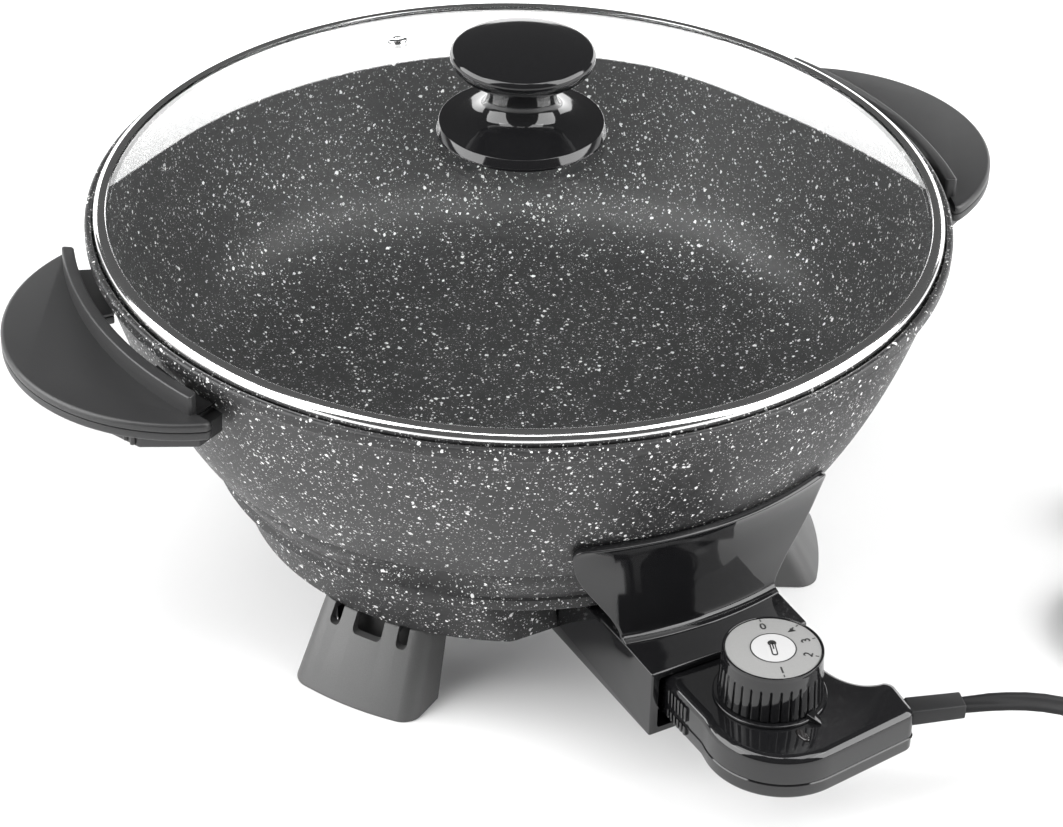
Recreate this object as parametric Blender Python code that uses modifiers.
"""An electric wok: a coated pan on three feet, a lift-off glass lid, two side handles, a front heat shield
with a socket tunnel, and a plug-in heat control with its cord and plug. Metres, +Z up. It stands on z = 0."""

import math

import bmesh
import bpy
from mathutils import Matrix, Vector
from mathutils.geometry import interpolate_bezier

# Clearances
GAP = 0.0003
BORE_PLAY = 0.0004
OVERRUN = 0.004
MERGE_DISTANCE = 0.00001

# Pan
RIM_RADIUS = 0.1825
RIM_TOP = 0.1765
BEAD_BOTTOM = 0.171
BEAD_ROUND = 0.0008
BOWL_TOP = 0.170
BOWL_TOP_RADIUS = RIM_RADIUS - 0.003
BOWL_FOOT_RADIUS = 0.133
LEDGE_TOP = 0.069
LEDGE_BOTTOM = 0.0622
LEDGE_OUT = 0.0006
LEDGE_ROUND = 0.0018
BOWL_PULL_SHARE = 0.33
BOWL_TOP_SLOPE = 0.27
BOWL_FOOT_SLOPE = 0.78
PAN_WALL = 0.004
FLOOR_TOP = 0.0755
FLOOR_THICKNESS = 0.006
FLOOR_FLAT_RADIUS = BOWL_FOOT_RADIUS - 0.057
FILLET_TOP = 0.106
FILLET_PULL_SHARES = (0.5, 0.8)
SKIRT_TOP_RADIUS = BOWL_FOOT_RADIUS - 0.0044
SKIRT_BOTTOM_RADIUS = SKIRT_TOP_RADIUS - 0.0096
SKIRT_BOTTOM = 0.035
SKIRT_WALL = 0.0038
SKIRT_FLAT = 0.0965
SKIRT_FLAT_WALL = 0.004
CENTRE_BOSS_RADIUS = 0.007
DIMPLE_ANGLES = (42, 138, 222, 318)
DIMPLE_CENTRE_OUT = 0.011
DIMPLE_CENTRE_HEIGHT = 0.076
DIMPLE_HALF = (0.014, 0.060, 0.010)
PAN_STEPS = 48
SKIRT_STEPS = 50
BOWL_POINTS = 7
FILLET_POINTS = 4

# Base cover, legs and screws
COVER_HEIGHT = 0.0388
COVER_THICKNESS = 0.0012
COVER_LIP = 0.003
SCREW_RADIUS = 0.0015
SCREW_HEAD_RADIUS = 0.0032
SCREW_HEAD_HEIGHT = 0.0022
LEG_NAMES = ("rear", "front_left", "front_right")
LEG_ANGLES = (90, 210.5, 329.5)
LEG_FOOT_RADIUS = SKIRT_BOTTOM_RADIUS + 0.020
LEG_HALF_WIDTH = 0.0305
LEG_CORNER = 0.009
LEG_WALL = 0.004
LEG_DEPTH = 0.024
LEG_WEB = 0.0035
LEG_WEB_INSET = 0.001
LEG_SCREW_PLACE = SKIRT_BOTTOM_RADIUS - 0.011
LEG_BOSS_RADIUS = 0.0055
LEG_BOSS_DEPTH = 0.014
RIB_HALF = 0.0024
NOTCH_DEPTH = 0.0074
NOTCH_ANGLES = (7.7, 0, -7.7)
NOTCH_WIDTHS = (0.005, 0.0138, 0.005)
NOTCH_REACH = 0.006

# Heating element, terminals and probe guide
ELEMENT_RADIUS = 0.004
ELEMENT_LOOP_RADIUS = 0.075
TERMINAL_SPACING = 0.0254
TERMINAL_HEIGHT = 0.0485
PIN_RADIUS = 0.0024
PIN_REACH = 0.027
BUSH_RADIUS = 0.0044
BUSH_REACH = 0.0015
GUIDE_HALF_WIDTH = 0.008
GUIDE_BOTTOM = 0.042
GUIDE_BACK = 0.052
GUIDE_FRONT = 0.0865

# Socket shield
SHIELD_LINE = (
    (0.1644, 0.1140),
    (0.1628, 0.1105),
    (0.1609, 0.1035),
    (0.1597, 0.0960),
    (0.1587, 0.0860),
    (0.1578, 0.0760),
    (0.1575, 0.0670),
    (0.1584, 0.0646),
    (0.1615, 0.0634),
)
SHIELD_WALL = 0.003
SHIELD_SWEEP_ANGLE = 48
SHIELD_STEPS = 12
SHIELD_HALVES = ((0.0412, 0.074), (0.0465, 0.082), (0.0520, 0.090), (0.0555, 0.096), (0.0580, 0.1025))
SHIELD_TOP_HALF = 0.0598
SHIELD_CORNER = 0.004
TUNNEL_HALF = 0.0369
TUNNEL_WALL = 0.0034
TUNNEL_BOTTOM = 0.0304
TUNNEL_TOP = 0.0630
TUNNEL_FRONT_TOP = 0.0621
TUNNEL_BROW = 0.157
TUNNEL_STEP = 0.1365
TUNNEL_FRONT = 0.1779
TUNNEL_CEILING = 0.0593
FLANGE_HALF = 0.052
FLANGE_HEIGHTS = (0.037, 0.0585)
FLANGE_THICKNESS = 0.0035
FLANGE_SCREW_PLACE = 0.0455
FLANGE_SCREW_HEIGHT = 0.048

# Side handles
HANDLE_CENTRE = RIM_RADIUS - 0.030
HANDLE_RADIUS = 0.0762
HANDLE_HALF_ANGLE = 73.5
HANDLE_INNER_RADIUS = RIM_RADIUS + 0.0055
HANDLE_TOP = 0.164
HANDLE_PARTING = 0.160
HANDLE_BOTTOM = 0.156
HANDLE_ROUND = 0.0016
LUG_INNER_RADIUS = RIM_RADIUS - 0.0145
LUG_ANGLE = 17
LUG_END_ANGLE = 22.7
SHELF_TOP = 0.1616
SHELF_RADIUS = RIM_RADIUS + 0.0125
RAIL_INNER_RADIUS = RIM_RADIUS + 0.0107
RAIL_WIDTH = 0.005
RAIL_TOP = 0.1714
RAIL_HALF_ANGLE = 19.8
RAIL_ROUND = 0.001
BRACKET_BOTTOM = 0.1497
BRACKET_SHARES = ((0.735, 11.6), (0.92, 11.2), (0.903, 15.4), (0.843, 19.1), (0.735, 18.6))
HANDLE_SCREW_RING_RADIUS = RIM_RADIUS + 0.0132
HANDLE_SCREW_ANGLE = 14.6
HANDLE_SCREW_DEPTH = 0.007

# Lid
LID_RADIUS = RIM_RADIUS - 0.0035
LID_PLAY = 0.0006
LID_RING_BOTTOM = 0.1737
LID_RING_TOP = 0.180
LID_RING_INNER = LID_RADIUS - 0.0056
LID_RING_INNER_TOP = 0.1813
LID_RING_WALL = 0.0008
LID_RING_ROUND = 0.0006
GLASS_APEX = 0.211
GLASS_CURVE_RADIUS = 0.5035
GLASS_RADIUS = LID_RADIUS - 0.0027
GLASS_THICKNESS = 0.004
GLASS_HOLE = 0.004
GLASS_POINTS = 9
VENT_PLACE = (0.005, 0.121)
VENT_HOLE = 0.004
EYELET_BORE = 0.0014
EYELET_BODY = 0.0036
EYELET_FLANGE = 0.0047
EYELET_FLANGE_HEIGHT = 0.0009
KNOB_DISC_RADIUS = 0.0357
KNOB_STEM_RADIUS = 0.014
KNOB_STEM_TOP = 0.236
KNOB_SEAT_RADIUS = 0.020
KNOB_SEAT_GAP = 0.0008
KNOB_CAP_RADIUS = 0.030
KNOB_CAP_SKIRT = 0.0112
KNOB_CAP_CROWN = 0.0053
KNOB_STEPS = 28
WASHER_RADIUS = 0.012
WASHER_THICKNESS = 0.0015

# Heat control, in plan from the wok's axis
CONTROL_TOP = 0.0585
CONTROL_PARTING = 0.0455
CONTROL_BOTTOM = 0.0385
CONTROL_WALL = 0.0022
CONTROL_ROUND = 0.0026
CONTROL_BASE_ROUND = 0.0012
NECK_HALF = 0.030
NECK_END = 0.103
NECK_LENGTH = 0.1025
NOSE_PLACE = 0.2156
NOSE_RADIUS = 0.0314
NOSE_ANGLES = (171, 277)
NOSE_POINTS = 11
END_FRONT = (0.047, 0.242)
END_BACK = (0.0492, 0.2208)
END_ROUND = 0.0036
SADDLE_PULLS = ((0.040, 0.2185), (0.031, 0.2150))
SADDLE_POINTS = 7
PROBE_RADIUS = 0.003
PROBE_TIP = 0.058
PROBE_NOSE = 0.002
SLEEVE_HALF = 0.0035
SLEEVE_LENGTH = 0.022
SLEEVE_INSET = 0.0028
CRADLE_HALF = 0.018
CRADLE_SHARES = (0.3, 0.9)
WINDOW_HALF = 0.0175
FRAME_HALF = 0.014
FRAME_AHEAD_OF_DIAL = 0.0215
FRAME_LENGTH = 0.038
FRAME_SHEET = 0.0014
FRAME_LUG = 0.0065
RIB_SPACING = 0.022
RIB_HALF = 0.001
ARM_HALF = 0.004
ARM_SHEET = 0.001
ARM_RISE = 0.0022
ARM_FOOT = 0.005
BOSS_RADIUS = 0.0036
HOUSING_SCREWS = ((-0.022, 0.160), (0.006, 0.238))
LENS_PLACE = (-0.0018, 0.2336)
LENS_HALF = (0.0017, 0.0040)
LENS_HEIGHT = 0.0007
LENS_DEPTH = 0.004

# Dial
DIAL_PLACE = (0.001, 0.2055)
BEZEL_RADIUS = 0.0229
BEZEL_HEIGHT = 0.0012
BEZEL_ROUND = 0.0005
FIN_ANGLE = 285
FIN_TIP = 0.0272
FIN_HALF_WIDTH = 0.0021
FIN_HEIGHT = 0.0034
DIAL_LIFT = 0.0018
DIAL_TOP = 0.0816
DIAL_RADIUS = 0.0212
DIAL_TOP_RADIUS = 0.0202
DIAL_ROUND = 0.0006
DIAL_WALL = 0.0024
DIAL_CROWN = 0.0035
DIAL_BOSS = 0.006
LABEL_RADIUS = 0.019
LABEL_THICKNESS = 0.0006
GROOVES = 32
GROOVE_WIDTH = 0.0009
GROOVE_DEPTH = 0.0006
GROOVE_TOP_SHARE = 0.74
SHAFT_RADIUS = 0.003
SHAFT_TOP = 0.076

# Cord: a flat twin flex, in plan from the wok's axis
CORD_WIDTH = 0.0075
CORD_THICKNESS = 0.004
BOOT_START = (0.0468, 0.2355)
BOOT_END = (0.0690, 0.2426)
BOOT_HEIGHT = 0.0530
BOOT_SIZE = (0.010, 0.0072)
BOOT_TAPER_SHARE = 0.94
CORD_POINTS = (
    (0.0693, -0.2427, 0.0530, 10),
    (0.0800, -0.2460, 0.0527, 30),
    (0.0950, -0.2502, 0.0503, 50),
    (0.1106, -0.2541, 0.0448, 55),
    (0.1280, -0.2563, 0.0335, 65),
    (0.1460, -0.2550, 0.0205, 75),
    (0.1630, -0.2510, 0.0115, 85),
    (0.1800, -0.2465, 0.0065, 90),
    (0.1960, -0.2435, 0.0051, 90),
    (0.2065, -0.2427, 0.00495, 90),
    (0.2142, -0.2427, 0.00495, 90),
)
CORD_STEP = 0.015
COIL_CENTRE = (0.222, 0.198)
COIL_TURNS = 3.25
COIL_MIDDLE_RADIUS = 0.041
COIL_PITCH = 0.0046
COIL_LAYER = 0.0080
COIL_BOTTOM = 0.0012
COIL_POINTS_PER_TURN = 24
TIE_WIDTH = 0.006
TIE_THICKNESS = 0.0007
TIE_ANGLE = 45
TIE_SPARE = 0.0005

# Plug
PLUG_GAP_TO_COIL = 0.0325
PLUG_SIZE = (0.050, 0.046, 0.0215)
PLUG_ROUND = 0.004
PLUG_EARTH = (0.004, 0.008, 0.0227)
PLUG_LIVE = (0.00635, 0.004, 0.0177)
PLUG_LIVE_SPACING = 0.0222
PLUG_PIN_ROW = 0.0222
PLUG_FOOT = 0.0002

# Everything is set out from the wok's axis. The row frame's origin is midway between the front and the back.
AXIS_Y = (NOSE_PLACE + NOSE_RADIUS - RIM_RADIUS) / 2
TURN = math.tau

parts = bpy.data.collections.new("electric_wok")
cutters = bpy.data.collections.new("cutters")


def clear_scene():
    for old in list(bpy.data.objects):
        bpy.data.objects.remove(old, do_unlink=True)
    for group in (parts, cutters):
        bpy.context.scene.collection.children.link(group)
    cutters.hide_render = True


def empty(name, place, parent=None):
    made = bpy.data.objects.new(name, None)
    made.location = place
    made.parent = parent
    parts.objects.link(made)
    return made


def finish(name, colour, roughness, metallic=0.0, transmission=0.0):
    made = bpy.data.materials.new(name)
    made.use_nodes = True
    shader = made.node_tree.nodes["Principled BSDF"]
    shader.inputs["Base Color"].default_value = (*colour, 1.0)
    shader.inputs["Roughness"].default_value = roughness
    shader.inputs["Metallic"].default_value = metallic
    shader.inputs["Transmission Weight"].default_value = transmission
    return made


def put(name, mesh, look, parent, place=(0, 0, 0), turn=(0, 0, 0)):
    """A sub-part, or a cutter where look is None."""
    made = bpy.data.objects.new(name, mesh)
    made.location = place
    made.rotation_euler = turn
    made.parent = parent
    if look is None:
        cutters.objects.link(made)
        made.hide_render = True
        made.display_type = "WIRE"
        return made
    mesh.materials.append(look)
    parts.objects.link(made)
    return made


def combine(part, other, operation="DIFFERENCE"):
    modifier = part.modifiers.new(other.name, "BOOLEAN")
    modifier.operation = operation
    modifier.object = other


def polar(radius, degrees, height=None):
    angle = math.radians(degrees)
    flat = (radius * math.cos(angle), radius * math.sin(angle))
    return flat if height is None else (*flat, height)


def arc(centre, radius, start, end, count):
    """Points along an arc, with its angles in degrees."""
    angles = [math.radians(start + (end - start) * i / (count - 1)) for i in range(count)]
    return [(centre[0] + radius * math.cos(a), centre[1] + radius * math.sin(a)) for a in angles]


def bezier(first, pull, second_pull, last, count):
    knots = [Vector((*point, 0)) for point in (first, pull, second_pull, last)]
    return [(p.x, p.y) for p in interpolate_bezier(*knots, count)]


def inset(outline, distance):
    """A counter-clockwise outline drawn in by this distance."""
    points = [Vector(p) for p in outline]
    moved = []
    for before, here, after in zip(points[-1:] + points[:-1], points, points[1:] + points[:1]):
        one = (here - before).normalized()
        two = (after - here).normalized()
        inward = Vector((-one.y - two.y, one.x + two.x))
        moved.append(tuple(here + inward * (2 * distance / inward.dot(inward))))
    return moved


def tidy(mesh, flat_angle=math.radians(0.5)):
    """Welds the loose caps of a mesh made from a curve and makes each flat face one face."""
    bm = bmesh.new()
    bm.from_mesh(mesh)
    bmesh.ops.remove_doubles(bm, verts=bm.verts, dist=MERGE_DISTANCE)
    bmesh.ops.dissolve_limit(bm, angle_limit=flat_angle, verts=bm.verts, edges=bm.edges)
    bmesh.ops.recalc_face_normals(bm, faces=bm.faces)
    bm.to_mesh(mesh)
    bm.free()
    return mesh


def plate(outline, bottom, top):
    """A flat outline drawn up from one height to another, as a mesh that can be cut."""
    curve = bpy.data.curves.new("outline", "CURVE")
    curve.dimensions = "2D"
    curve.fill_mode = "BOTH"
    curve.extrude = (top - bottom) / 2
    spline = curve.splines.new("POLY")
    spline.points.add(len(outline) - 1)
    for point, (x, y) in zip(spline.points, outline):
        point.co = (x, y, 0, 1)
    spline.use_cyclic_u = True
    drawn = bpy.data.objects.new("outline", curve)
    drawn.location.z = (top + bottom) / 2
    parts.objects.link(drawn)
    bpy.context.view_layer.update()
    graph = bpy.context.evaluated_depsgraph_get()
    mesh = bpy.data.meshes.new_from_object(drawn.evaluated_get(graph))
    mesh.transform(drawn.matrix_world)
    bpy.data.objects.remove(drawn)
    bpy.data.curves.remove(curve)
    return tidy(mesh)


def upright(mesh):
    """Stands a plate drawn in (y, z) on its edge, so that its thickness runs along X."""
    mesh.transform(Matrix(((0, 0, 1, 0), (1, 0, 0, 0), (0, 1, 0, 0), (0, 0, 0, 1))))
    return mesh


def add_box(bm, low, high):
    size = [b - a for a, b in zip(low, high)]
    middle = [(a + b) / 2 for a, b in zip(low, high)]
    matrix = Matrix.Translation(middle) @ Matrix.Diagonal((*size, 1))
    bmesh.ops.create_cube(bm, size=1, matrix=matrix)


def add_rod(bm, start, end, radius, sides=12):
    start, end = Vector(start), Vector(end)
    along = end - start
    matrix = Matrix.Translation((start + end) / 2) @ along.to_track_quat("Z", "Y").to_matrix().to_4x4()
    bmesh.ops.create_cone(
        bm, cap_ends=True, segments=sides, radius1=radius, radius2=radius, depth=along.length, matrix=matrix
    )


def blocks(boxes=(), rods=()):
    """A mesh of boxes, given by two corners, and rods, given by two ends and a radius."""
    bm = bmesh.new()
    for low, high in boxes:
        add_box(bm, low, high)
    for rod in rods:
        add_rod(bm, *rod)
    mesh = bpy.data.meshes.new("blocks")
    bm.to_mesh(mesh)
    bm.free()
    return mesh


def turned(name, profile, steps, look, parent, ring=False, place=(0, 0, 0), turn=(0, 0, 0), sweep=TURN):
    """A profile of (radius, height) turned about its Z axis. A ring's profile is closed."""
    mesh = bpy.data.meshes.new(name)
    edges = [(i, i + 1) for i in range(len(profile) - 1)]
    if ring:
        edges.append((len(profile) - 1, 0))
    mesh.from_pydata([(radius, 0, height) for radius, height in profile], edges, [])
    made = put(name, mesh, look, parent, place, turn)
    screw = made.modifiers.new("turn", "SCREW")
    screw.angle = sweep
    screw.steps = screw.render_steps = steps
    screw.use_merge_vertices = True
    screw.merge_threshold = MERGE_DISTANCE
    return made


def round_edges(part, width, segments, chosen):
    """Rounds the edges that chosen() picks by their two end points."""
    mesh = part.data
    weights = mesh.attributes.new("bevel_weight_edge", "FLOAT", "EDGE")
    for edge in mesh.edges:
        ends = [mesh.vertices[i].co for i in edge.vertices]
        weights.data[edge.index].value = float(chosen(*ends))
    bevel = part.modifiers.new("rounding", "BEVEL")
    bevel.limit_method = "WEIGHT"
    bevel.width = width
    bevel.segments = segments


def above(height):
    return lambda a, b: min(a.z, b.z) > height


def below(height):
    return lambda a, b: max(a.z, b.z) < height


def screw_piece(name, parent, head, tip, look, radius=SCREW_RADIUS):
    """A screw from the outer face of its head to its tip."""
    head, tip = Vector(head), Vector(tip)
    length = (tip - head).length
    profile = (
        (0, length),
        (radius, length),
        (radius, SCREW_HEAD_HEIGHT),
        (SCREW_HEAD_RADIUS, SCREW_HEAD_HEIGHT),
        (SCREW_HEAD_RADIUS, 0),
        (0, 0),
    )
    turn = (tip - head).to_track_quat("Z", "Y").to_euler()
    return turned(name, profile, 10, look, parent, place=head, turn=turn)


def bowl_line():
    """The bowl's outer line from under the rim bead down to the ledge."""
    pull = BOWL_PULL_SHARE * (BOWL_TOP - LEDGE_TOP)
    return bezier(
        (BOWL_TOP_RADIUS, BOWL_TOP),
        (BOWL_TOP_RADIUS - BOWL_TOP_SLOPE * pull, BOWL_TOP - pull),
        (BOWL_FOOT_RADIUS + BOWL_FOOT_SLOPE * pull, LEDGE_TOP + pull),
        (BOWL_FOOT_RADIUS, LEDGE_TOP),
        BOWL_POINTS,
    )


def bowl_radius(height):
    """The bowl's outer radius at a height, along the facets of its outer line."""
    line = bowl_line()
    for (wide, high), (narrow, low) in zip(line, line[1:]):
        if low <= height <= high:
            return narrow + (wide - narrow) * (height - low) / (high - low)
    return BOWL_TOP_RADIUS if height > BOWL_TOP else BOWL_FOOT_RADIUS


def glass_height(radius):
    """The top of the glass at a radius."""
    return GLASS_APEX - GLASS_CURVE_RADIUS + math.sqrt(GLASS_CURVE_RADIUS**2 - radius**2)


def pan_profile():
    seat_height = LID_RING_BOTTOM - GAP
    seat_radius = LID_RADIUS + LID_PLAY
    fillet_radius = bowl_radius(FILLET_TOP) - PAN_WALL
    low_pull, high_pull = FILLET_PULL_SHARES
    fillet = bezier(
        (FLOOR_FLAT_RADIUS, FLOOR_TOP),
        (FLOOR_FLAT_RADIUS + (fillet_radius - FLOOR_FLAT_RADIUS) * low_pull, FLOOR_TOP),
        (
            fillet_radius - BOWL_FOOT_SLOPE * (1 - low_pull) * (FILLET_TOP - FLOOR_TOP),
            FILLET_TOP - high_pull * (FILLET_TOP - FLOOR_TOP),
        ),
        (fillet_radius, FILLET_TOP),
        FILLET_POINTS,
    )
    bowl = bowl_line()
    above_fillet = [point for point in reversed(bowl) if point[1] > FILLET_TOP + PAN_WALL]
    wall = [(radius - PAN_WALL, height) for radius, height in above_fillet]
    bead = [
        (BOWL_TOP_RADIUS - PAN_WALL, seat_height),
        (seat_radius, seat_height),
        (seat_radius, RIM_TOP - BEAD_ROUND),
        (seat_radius + BEAD_ROUND, RIM_TOP),
        (RIM_RADIUS - BEAD_ROUND, RIM_TOP),
        (RIM_RADIUS, RIM_TOP - BEAD_ROUND),
        (RIM_RADIUS, BEAD_BOTTOM + BEAD_ROUND),
        (RIM_RADIUS - BEAD_ROUND, BEAD_BOTTOM),
    ]
    ledge_radius = BOWL_FOOT_RADIUS + LEDGE_OUT
    foot = [
        (ledge_radius, LEDGE_TOP - LEDGE_ROUND),
        (ledge_radius, LEDGE_BOTTOM + LEDGE_ROUND),
        (ledge_radius - LEDGE_ROUND, LEDGE_BOTTOM),
        (SKIRT_BOTTOM_RADIUS, LEDGE_BOTTOM),
        (SKIRT_BOTTOM_RADIUS - 2 * SKIRT_WALL, FLOOR_TOP - FLOOR_THICKNESS),
        (CENTRE_BOSS_RADIUS, FLOOR_TOP - FLOOR_THICKNESS),
        (CENTRE_BOSS_RADIUS, COVER_HEIGHT + COVER_THICKNESS + GAP),
        (0, COVER_HEIGHT + COVER_THICKNESS + GAP),
    ]
    return [(0, FLOOR_TOP), *fillet, *wall, *bead, *bowl, *foot]


def make_pan(root, coat):
    """The cast bowl, with its ledge, its four dents and the boss that holds the cover."""
    pan = turned("wok_pan", pan_profile(), PAN_STEPS, coat, root)
    boss_bottom = COVER_HEIGHT + COVER_THICKNESS + GAP
    floor_under = FLOOR_TOP - FLOOR_THICKNESS
    bm = bmesh.new()
    for angle in DIMPLE_ANGLES:
        place = polar(BOWL_FOOT_RADIUS + DIMPLE_CENTRE_OUT, angle, DIMPLE_CENTRE_HEIGHT)
        spin = Matrix.Rotation(math.radians(angle), 4, "Z")
        matrix = Matrix.Translation(place) @ spin @ Matrix.Diagonal((*DIMPLE_HALF, 1))
        bmesh.ops.create_uvsphere(bm, u_segments=14, v_segments=8, radius=1, matrix=matrix)
    add_rod(bm, (0, 0, boss_bottom - OVERRUN), (0, 0, floor_under - OVERRUN), SCREW_RADIUS + BORE_PLAY, 10)
    mesh = bpy.data.meshes.new("pan_holes")
    bm.to_mesh(mesh)
    bm.free()
    combine(pan, put("pan_holes", mesh, None, root))


def make_skirt(root, coat):
    """The skirt under the bowl's ledge, flat at the front, with a boss for each leg."""
    top = LEDGE_BOTTOM - GAP
    height = top - SKIRT_BOTTOM
    spread = (SKIRT_TOP_RADIUS - SKIRT_BOTTOM_RADIUS) / (LEDGE_BOTTOM - SKIRT_BOTTOM)
    cone = [
        (0, top),
        (SKIRT_BOTTOM_RADIUS + spread * height, top),
        (SKIRT_BOTTOM_RADIUS, SKIRT_BOTTOM),
        (0, SKIRT_BOTTOM),
    ]
    skirt = turned("base_skirt", cone, SKIRT_STEPS, coat, root)
    inner = SKIRT_BOTTOM_RADIUS - SKIRT_WALL
    low_inner = inner - spread * OVERRUN / 2
    high_inner = inner + spread * (height + OVERRUN) / 2
    hollow_profile = (
        (0, top + OVERRUN),
        (high_inner, top + OVERRUN),
        (low_inner, SKIRT_BOTTOM - OVERRUN),
        (0, SKIRT_BOTTOM - OVERRUN),
    )
    hollow = turned("skirt_hollow", hollow_profile, SKIRT_STEPS, None, root)
    wall_inside = SKIRT_FLAT - SKIRT_FLAT_WALL
    reach = ((-RIM_RADIUS, -RIM_RADIUS, 0), (RIM_RADIUS, -wall_inside, FLOOR_TOP))
    combine(hollow, put("skirt_hollow_front", blocks([reach]), None, root))
    bm = bmesh.new()
    for angle in LEG_ANGLES:
        low = polar(LEG_SCREW_PLACE, angle, 0)
        add_rod(bm, low, polar(LEG_SCREW_PLACE, angle, FLOOR_TOP), LEG_BOSS_RADIUS)
    bosses = bpy.data.meshes.new("skirt_bosses")
    bm.to_mesh(bosses)
    bm.free()
    combine(hollow, put("skirt_bosses", bosses, None, root))
    for angle in LEG_ANGLES:
        rib = blocks([((LEG_SCREW_PLACE, -RIB_HALF, 0), (RIM_RADIUS, RIB_HALF, FLOOR_TOP))])
        turn = (0, 0, math.radians(angle))
        combine(hollow, put("skirt_rib", rib, None, root, turn=turn))
    combine(skirt, hollow)
    ahead = ((-RIM_RADIUS, -RIM_RADIUS, SKIRT_BOTTOM - OVERRUN), (RIM_RADIUS, -SKIRT_FLAT, LEDGE_BOTTOM))
    combine(skirt, put("skirt_front_flat", blocks([ahead]), None, root))
    bm = bmesh.new()
    for angle in LEG_ANGLES:
        low = polar(LEG_SCREW_PLACE, angle, SKIRT_BOTTOM - OVERRUN)
        high = polar(LEG_SCREW_PLACE, angle, SKIRT_BOTTOM + LEG_BOSS_DEPTH)
        add_rod(bm, low, high, SCREW_RADIUS + BORE_PLAY, 10)
    through = (-SKIRT_FLAT - OVERRUN, -wall_inside + OVERRUN)
    for x, height, radius in (
        (-TERMINAL_SPACING / 2, TERMINAL_HEIGHT, BUSH_RADIUS + GAP),
        (TERMINAL_SPACING / 2, TERMINAL_HEIGHT, BUSH_RADIUS + GAP),
        (0, TERMINAL_HEIGHT, PROBE_RADIUS + 2 * BORE_PLAY),
        (-FLANGE_SCREW_PLACE, FLANGE_SCREW_HEIGHT, SCREW_RADIUS + GAP),
        (FLANGE_SCREW_PLACE, FLANGE_SCREW_HEIGHT, SCREW_RADIUS + GAP),
    ):
        add_rod(bm, (x, through[0], height), (x, through[1], height), radius)
    mesh = bpy.data.meshes.new("skirt_holes")
    bm.to_mesh(mesh)
    bm.free()
    combine(skirt, put("skirt_holes", mesh, None, root))


def make_cover(root, tin, screw_metal):
    radius = SKIRT_FLAT - SKIRT_FLAT_WALL - COVER_LIP / 2
    bore = SCREW_RADIUS + BORE_PLAY
    top = COVER_HEIGHT + COVER_THICKNESS
    profile = (
        (bore, top),
        (radius - COVER_LIP, top),
        (radius - COVER_THICKNESS, top + COVER_LIP),
        (radius, top + COVER_LIP),
        (radius, top + COVER_LIP - COVER_THICKNESS),
        (radius - COVER_LIP + COVER_THICKNESS / 2, COVER_HEIGHT),
        (bore, COVER_HEIGHT),
    )
    turned("base_cover", profile, PAN_STEPS // 2, tin, root, ring=True)
    head = COVER_HEIGHT - GAP - SCREW_HEAD_HEIGHT
    screw_piece("base_cover_screw", root, (0, 0, head), (0, 0, top + LEG_BOSS_DEPTH), screw_metal)


def leg_path(radius, half_width, corner, back):
    """The outer line of a leg in plan, from the end of one return round to the other."""
    side = half_width - corner
    centre = math.sqrt((radius - corner) ** 2 - side**2)
    lean = math.degrees(math.atan2(side, centre))
    start = [(back, -half_width)]
    first = arc((centre, -side), corner, -90, -lean, 4)
    front = arc((0, 0), radius, -lean, lean, 7)[1:-1]
    second = arc((centre, side), corner, lean, 90, 4)
    return [*start, *first, *front, *second, (back, half_width)]


def lean_in(mesh):
    """Draws a leg in towards the wok's axis with its height, as its skirt does."""
    share = (1 - SKIRT_BOTTOM_RADIUS / LEG_FOOT_RADIUS) / SKIRT_BOTTOM
    for vertex in mesh.vertices:
        scale = 1 - share * vertex.co.z
        vertex.co.x *= scale
        vertex.co.y *= scale


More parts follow.
